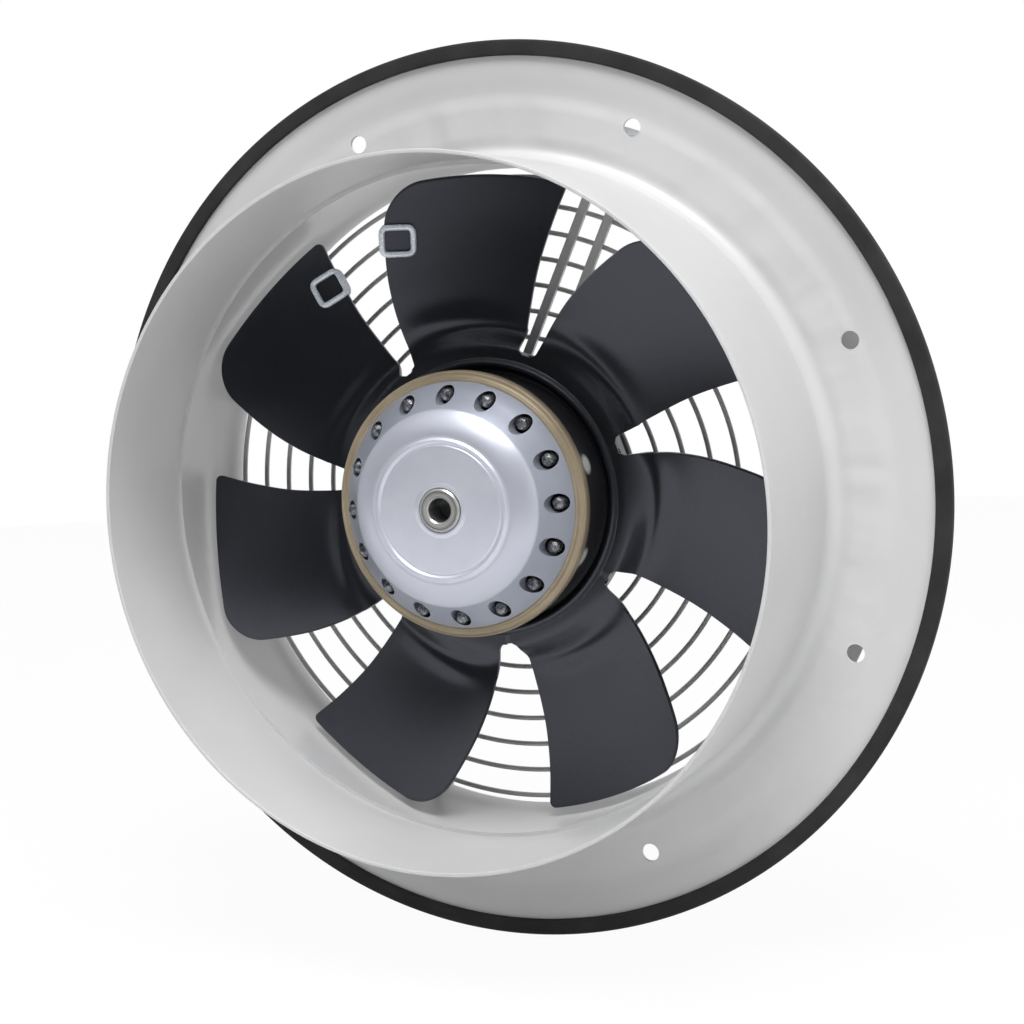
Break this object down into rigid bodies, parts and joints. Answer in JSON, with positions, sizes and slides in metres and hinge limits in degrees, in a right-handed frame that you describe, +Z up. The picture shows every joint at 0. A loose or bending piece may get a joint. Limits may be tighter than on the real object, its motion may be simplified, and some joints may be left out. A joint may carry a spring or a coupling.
{
  "type": "axial wall fan",
  "caption": "Axial fan in a round wall ring with duct: bladed impeller on an external-rotor motor, wire guard on the inlet side and a seal on the flange edge.",
  "frame": {"origin": "centre of the flange's bolt circle, in the flange's front face", "axes": "Y along the fan's axis, -Y towards the outlet side and the wall opening, +Y towards the guard; +Z up, +X to the right seen from the outlet side"},
  "size_m": [0.356, 0.1133, 0.356],
  "materials": {
    "galvanised_sheet": "satin",
    "seal_rubber": "matt",
    "guard_steel": "satin",
    "zinc_steel": "bright",
    "cast_aluminium": "satin",
    "cage_aluminium": "cast",
    "grommet_rubber": "matt",
    "ground_steel": "ground",
    "cage_sheet": "pressed",
    "laminations": "laminated",
    "insulation_plastic": "matt",
    "copper_wire": "enamelled",
    "beige_ring": "satin",
    "black_drum": "satin",
    "black_blades": "satin matt"
  },
  "bodies": {
    "wall_frame": {"wall_ring": "galvanised_sheet", "seal_band": "seal_rubber", "inlet_ring": "galvanised_sheet", "guard_rings": "guard_steel", "guard_rim": "guard_steel", "guard_arm_pair_1": "guard_steel", "guard_arm_pair_2": "guard_steel", "guard_arm_pair_3": "guard_steel", "guard_arm_pair_4": "guard_steel", "guard_feet": "guard_steel", "guard_screws": "zinc_steel", "guard_nuts": "zinc_steel", "motor_plate": "guard_steel", "stator_flange": "cast_aluminium", "motor_screws": "zinc_steel", "cable_grommet": "grommet_rubber", "bearing_tube": "cast_aluminium", "front_bearing_outer_ring": "ground_steel", "rear_bearing_outer_ring": "ground_steel", "preload_washer": "zinc_steel", "stator_core": "laminations", "stator_insulation": "insulation_plastic", "stator_windings": "copper_wire"},
    "rotor": {"rotor_drum": "black_drum", "rotor_core": "laminations", "rotor_cage": "cage_aluminium", "rotor_cap": "cast_aluminium", "cap_ring": "beige_ring", "shaft": "ground_steel", "retaining_ring": "zinc_steel", "front_bearing_inner_ring": "ground_steel", "rear_bearing_inner_ring": "ground_steel", "impeller_ring": "black_blades", "blade_1": "black_blades", "blade_2": "black_blades", "blade_3": "black_blades", "blade_4": "black_blades", "blade_5": "black_blades", "blade_6": "black_blades", "blade_7": "black_blades", "balance_clip_1": "zinc_steel", "balance_clip_2": "zinc_steel"},
    "front_ball_set": {"front_bearing_balls": "ground_steel", "front_bearing_cage": "cage_sheet"},
    "rear_ball_set": {"rear_bearing_balls": "ground_steel", "rear_bearing_cage": "cage_sheet"}
  },
  "joints": [
    {"name": "fan_spin", "type": "hinge", "parent": "wall_frame", "child": "rotor", "pos_m": [0, 0, 0], "axis": [0, 1, 0], "continuous": true},
    {"name": "front_balls_orbit", "type": "hinge", "parent": "wall_frame", "child": "front_ball_set", "pos_m": [0, 0, 0], "axis": [0, 1, 0], "continuous": true},
    {"name": "rear_balls_orbit", "type": "hinge", "parent": "wall_frame", "child": "rear_ball_set", "pos_m": [0, 0, 0], "axis": [0, 1, 0], "continuous": true}
  ],
  "couplings": [
    {"joint": "front_balls_orbit", "follows": "fan_spin", "ratio": 0.368},
    {"joint": "rear_balls_orbit", "follows": "fan_spin", "ratio": 0.368}
  ]
}
